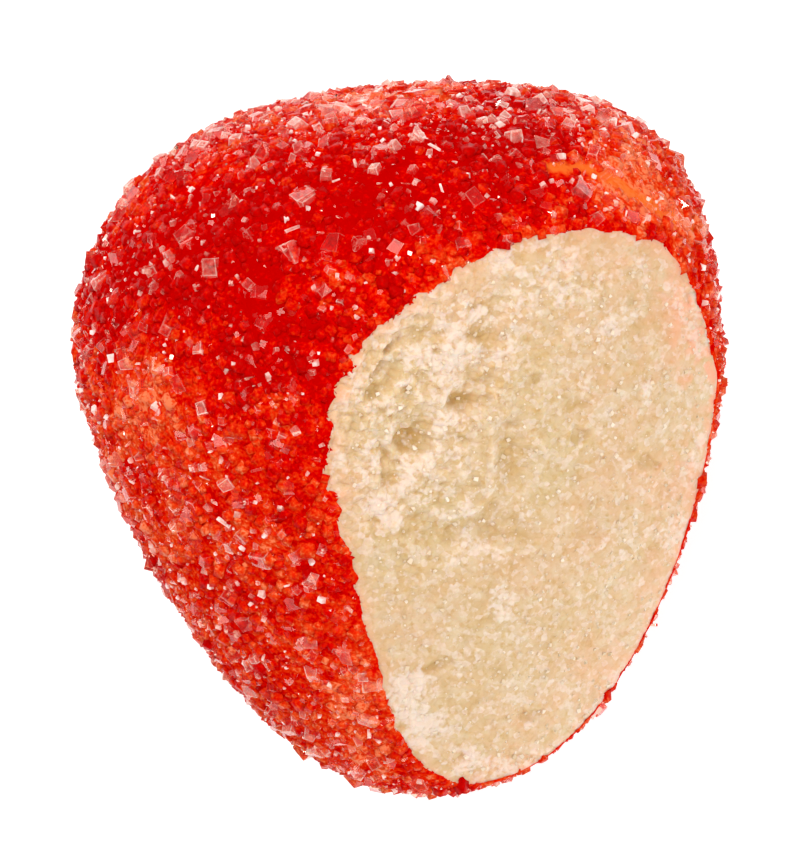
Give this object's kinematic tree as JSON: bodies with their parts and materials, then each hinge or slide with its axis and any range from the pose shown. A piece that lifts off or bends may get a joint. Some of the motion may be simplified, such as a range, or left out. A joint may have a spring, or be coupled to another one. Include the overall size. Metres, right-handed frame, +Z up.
{
  "type": "marzipan strawberry",
  "caption": "Sweet shaped like a strawberry: pale crumbly marzipan in a thin red sugar crust, lying on its side with a slice cut off one cheek.",
  "frame": {"origin": "on the table, on the small flat spot the sweet rests on, straight below the middle of the berry's axis", "axes": "+Z up out of the table, +Y from the tip towards the shoulder end, +X towards the cheek that the slice was cut off"},
  "size_m": [0.0313, 0.0347, 0.0271],
  "materials": {
    "marzipan_crumb": "pale crumbly almond paste, dull, with pits and fine sugar grains",
    "red_sugar": "translucent red dyed sugar crust with clear, glinting crystals"
  },
  "bodies": {
    "root": {"marzipan": "marzipan_crumb", "sugar_coat": "red_sugar"}
  },
  "joints": []
}
